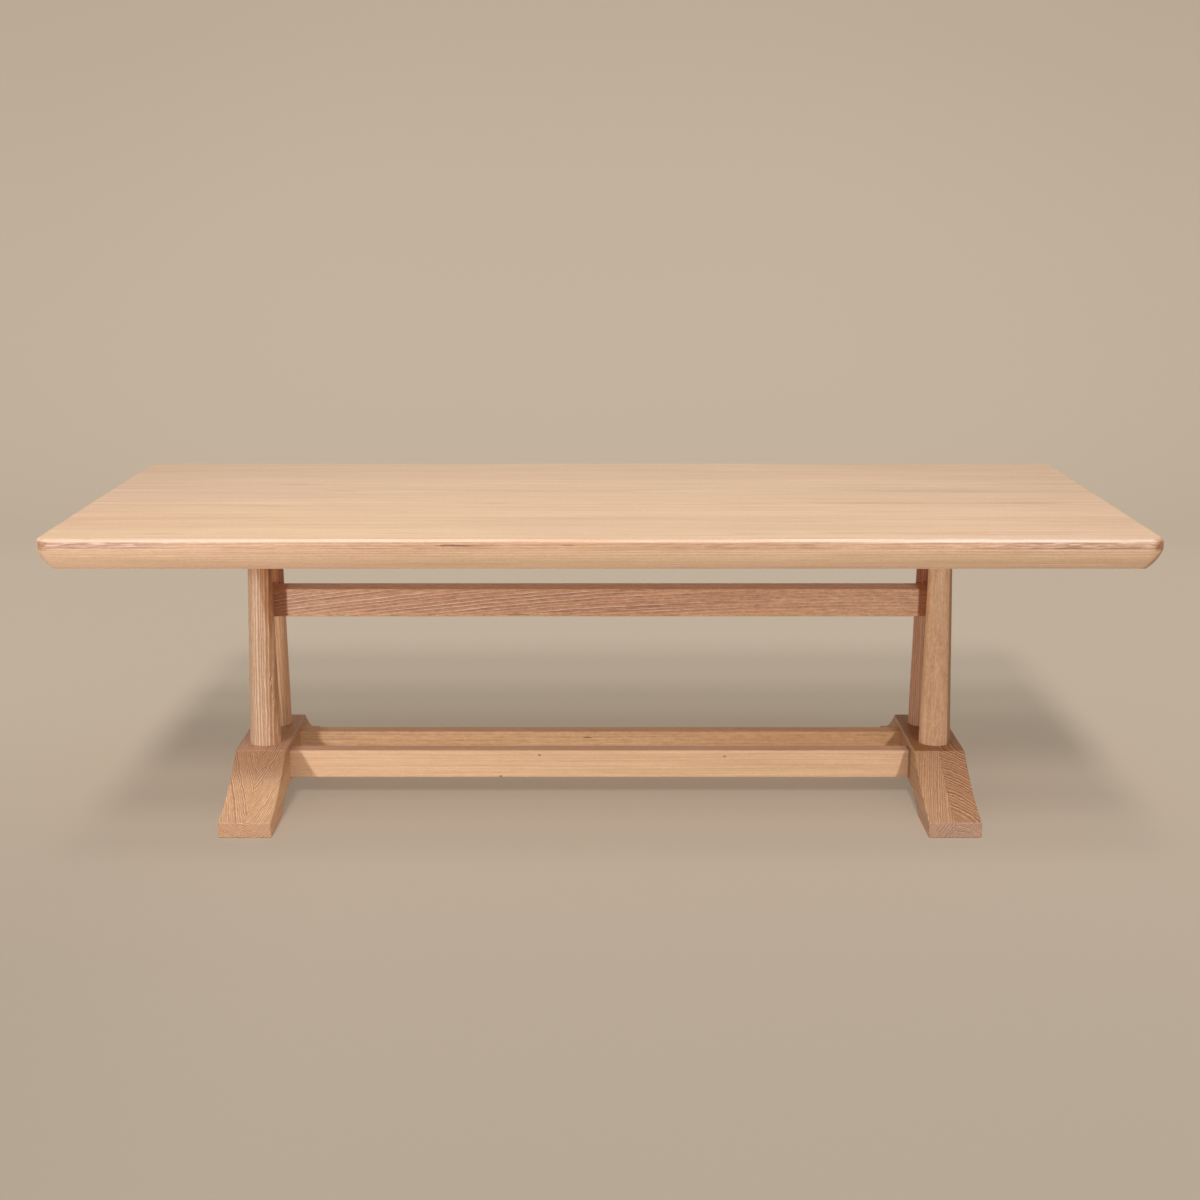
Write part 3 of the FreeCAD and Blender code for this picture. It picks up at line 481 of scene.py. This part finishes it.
# painted light: the inner flank of the left foot is made paler, and the lower edge of each foot's inner flank is made a
# lit orange
flank_left = [((1.18, 1.14, 1.03), [(X_AXIS, -0.7800, FAR, 0.0004)]),
              ((1.12, 1.02, 0.95), [(X_AXIS, -0.7800, FAR, 0.0004), (Z_AXIS, -FAR, 0.018, 0.004)])]
flank_right = [((1.12, 1.02, 0.95), [(X_AXIS, -FAR, 0.7800, 0.0004), (Z_AXIS, -FAR, 0.018, 0.004)])]
foot_joint = {"left": [("X", -0.8416, 0.0005, 0.4)], "right": [("X", 0.8416, 0.0005, 0.4)]}
for side, half, pith, toe, seed, ring, ra, la, cv, wavy, extra in (
        ("left", "outer", (-0.583, 0.286), (-0.845, 0.085), 61.0, 0.0044, 0.85, 0.70, 0.42, 0.0085, left_tints),
        ("left", "inner", (-1.023, 0.256), (-0.845, 0.085), 61.0, 0.0042, 0.85, 0.70, 0.42, 0.0075, left_tints + flank_left),
        ("right", "inner", (0.453, 0.221), (1.056, -0.152), 71.0, 0.0050, 0.80, 0.60, 0.38, 0.0075, right_tints + flank_right + [((0.98, 0.905, 0.845), [(Z_AXIS, 0.0380, 0.1398, 0.0006)])]),
        ("right", "outer", (0.750, -0.300), (0.838, -0.060), 73.0, 0.0044, 1.10, 1.00, 0.45, 0.0060,
         right_tints + [((0.84, 0.72, 0.62), [(Z_AXIS, 0.0380, 0.1398, 0.0006)])])):
    mats["%s_foot_%s_half" % (side, half)] = oak(
        "oak_%s_foot_%s" % (side, half), "Y", pith, seed, FOOT_LIGHT, FOOT_DARK, FOOT_LIME,
        ring=ring, ring_amount=ra, lime_amount=la, cover=cv, streak=0.10, wander=0.006, wavy=wavy, wave_rate=12.0, wave_across=60.0, uneven=0.15,
        joints=foot_joint[side], toe=(0.0380, toe), tints=extra, grit=0.05)

for n, seed in (("left_bearer", 79.0), ("right_bearer", 83.0)):
    mats[n] = oak("oak_" + n, "Y", (0.3, 0.4), seed, POST_LIGHT, POST_DARK, POST_LIME, ring=0.0048)
for n, seed in (("left_cross_rail", 89.0), ("right_cross_rail", 97.0)):
    mats[n] = oak("oak_" + n, "Y", (0.2, 0.3), seed, RED_LIGHT, RED_DARK, RED_LIME, ring=0.0048)
mats["bolt_cover_plugs"] = oak("oak_plugs", "Z", (0.4, 0.5), 101.0, FOOT_LIGHT, FOOT_DARK, FOOT_LIME, ring=0.004)
for i, n in enumerate(("lower_stretcher_bolts", "upper_stretcher_bolts", "bolt_washers", "barrel_nuts",
                       "tabletop_screws", "screw_washers")):
    mats[n] = zinc("zinc_" + n, i * 1.3)

for n, o in nodes.items():
    o.data.materials.clear()
    o.data.materials.append(mats[n])


# ---------------------------------------------------------------- floor and backdrop
def backdrop():
    """One seamless sheet: floor, a wide cove, a wall, painted darker toward the front, the left and the sides, and
    glowing a little.
    """
    prof = [(-9.0, 0.0), (3.6, 0.0)]
    r, cy = 2.4, 3.6
    for k in range(1, 25):
        ang = math.radians(90.0 * k / 24)
        prof.append((cy + r * math.sin(ang), r - r * math.cos(ang)))
    prof.append((cy + r, 9.0))
    verts, faces = [], []
    for px in (-14.0, 14.0):
        verts += [(px, y, z) for y, z in prof]
    n = len(prof)
    for i in range(n - 1):
        faces.append((i, n + i, n + i + 1, i + 1))
    me = bpy.data.meshes.new("backdrop")
    me.from_pydata(verts, [], faces)
    for p in me.polygons:
        p.use_smooth = True
    o = bpy.data.objects.new("backdrop", me)
    scene.collection.objects.link(o)
    mat = bpy.data.materials.new("backdrop")
    t = Tree(mat)
    pos = t.node("ShaderNodeTexCoord").outputs["Object"]
    tone = t.noise(pos, 0.5, 2.0, 0.5)
    colour = t.mix(tone, (0.421, 0.358, 0.285), (0.432, 0.367, 0.292))
    px, py, _ = t.xyz(pos)
    # painted shade: the sheet is made darker toward the front, toward the left and toward the sides, and a little on
    # the wall
    painted_falloff = t.step(py, 1.2, -3.2, 1.0, 0.865)
    left = t.step(px, -0.5, -1.3, 1.0, t.step(py, 1.0, -0.8, 1.0, 0.95))
    painted_side_falloff = t.step(t.math("ABSOLUTE", px), 1.0, 3.2, 1.0, t.step(py, 2.8, 4.0, 1.0, 0.955))
    painted_falloff = t.mul(t.mul(painted_falloff, t.step(py, 2.8, 4.0, 1.0, 0.98)), t.mul(left, painted_side_falloff))
    colour = t.mix(1.0, colour, t.vec(painted_falloff, painted_falloff, painted_falloff), "MULTIPLY")
    out = t.node("ShaderNodeOutputMaterial")
    sh = t.node("ShaderNodeBsdfPrincipled")
    t.put(sh.inputs["Base Color"], colour)
    sh.inputs["Roughness"].default_value = 0.85
    sh.inputs["Specular IOR Level"].default_value = 0.1
    # painted light: the sheet glows a little, though it is no lamp, which lightens the shade on the floor
    sh.inputs["Emission Color"].default_value = (0.97, 0.83, 0.655, 1.0)
    t.put(sh.inputs["Emission Strength"], t.mul(painted_falloff, 0.205))
    clear = t.node("ShaderNodeBsdfTransparent")
    back = t.node("ShaderNodeNewGeometry").outputs["Backfacing"]
    m = t.node("ShaderNodeMixShader")
    t.nt.links.new(back, m.inputs[0])
    t.nt.links.new(sh.outputs[0], m.inputs[1])
    t.nt.links.new(clear.outputs[0], m.inputs[2])
    t.nt.links.new(m.outputs[0], out.inputs[0])
    me.materials.append(mat)
    return o


sheet = backdrop()


# ---------------------------------------------------------------- light
def area(name, at, aim, size, watts, colour=(1, 1, 1), only=None):
    d = bpy.data.lights.new(name, "AREA")
    d.shape = "RECTANGLE"
    d.size, d.size_y = size
    d.energy = watts
    d.color = colour
    o = bpy.data.objects.new(name, d)
    o.location = at
    o.rotation_mode = "QUATERNION"
    o.rotation_quaternion = (Vector(aim) - Vector(at)).to_track_quat("-Z", "Y")
    o.visible_camera = False
    scene.collection.objects.link(o)
    if only is not None:
        # a lamp that is flagged off from everything but these pieces
        lit = bpy.data.collections.new(name + "_lit")
        for piece in only:
            lit.objects.link(piece)
        o.light_linking.receiver_collection = lit
    return o


table = list(nodes.values())
staves = [o for n, o in nodes.items() if n.startswith("tabletop_board")]
trestle = [o for n, o in nodes.items() if not n.startswith("tabletop_board")]
area("key_left", (-1.515, -1.6, 0.68), (-0.6, 0.0, 0.3), (0.12, 0.12), 16.1, only=trestle)
area("key_right", (1.37, -2.4, 0.95), (0.6, 0.0, 0.3), (0.15, 0.15), 23.0, only=trestle)
area("overhead", (0.0, -0.5, 3.6), (0.0, -0.1, 0.7), (3.4, 2.0), 38.5, only=table)
area("over_left", (-1.6, -2.2, 3.0), (-0.3, 0.0, 0.7), (1.6, 1.6), 32.0, only=table)
area("over_front", (0.0, -2.5, 3.6), (0.0, 0.0, 0.5), (6.0, 1.5), 54.0, only=table)
area("over_right", (1.6, -2.2, 3.0), (0.3, 0.0, 0.7), (1.6, 1.6), 22.0, only=table)
FLOOR_LIGHT = (1.0, 0.955, 0.915)
area("floor_over", (-2.1, -2.9, 30.0), (0.0, 0.0, 0.7), (5.0, 8.0), 900.0, FLOOR_LIGHT, only=[sheet])
area("floor_middle", (-2.1, -16.1, 30.0), (0.0, 0.0, 0.7), (5.0, 8.0), 2140.0, FLOOR_LIGHT, only=[sheet])
area("floor_front", (-3.0, -35.0, 30.0), (0.0, 0.0, 0.7), (5.0, 8.0), 6900.0, FLOOR_LIGHT, only=[sheet])
area("edge_left", (-2.4, -4.4, 0.70), (-0.3, -0.6, 0.7), (1.0, 1.0), 110.0, only=staves)
area("edge_right", (2.4, -4.4, 0.70), (0.3, -0.6, 0.7), (1.0, 1.0), 30.0, only=staves)

world = bpy.data.worlds.new("studio")
world.use_nodes = True
wt = world.node_tree
bg = wt.nodes["Background"]
bg.inputs["Color"].default_value = (1.0, 1.0, 1.0, 1.0)
sky = wt.nodes.new("ShaderNodeTexCoord").outputs["Generated"]
split = wt.nodes.new("ShaderNodeSeparateXYZ")
front = wt.nodes.new("ShaderNodeMapRange")
wt.links.new(sky, split.inputs[0])
wt.links.new(split.outputs[1], front.inputs["Value"])
for socket, v in (("From Min", 0.0), ("From Max", -1.0), ("To Min", 0.20), ("To Max", 0.341)):
    front.inputs[socket].default_value = v
wt.links.new(front.outputs[0], bg.inputs["Strength"])
scene.world = world


# ---------------------------------------------------------------- camera
cam_data = bpy.data.cameras.new("camera")
cam_data.sensor_fit = "HORIZONTAL"
cam_data.sensor_width = 36.0
cam_data.lens = 60.0
cam = bpy.data.objects.new("camera", cam_data)
cam.location = (0.0, -4.9421, 1.5397)
cam.rotation_euler = (math.pi / 2 - 0.2100, 0.0, 0.0)
scene.collection.objects.link(cam)
scene.camera = cam

bpy.context.view_layer.update()
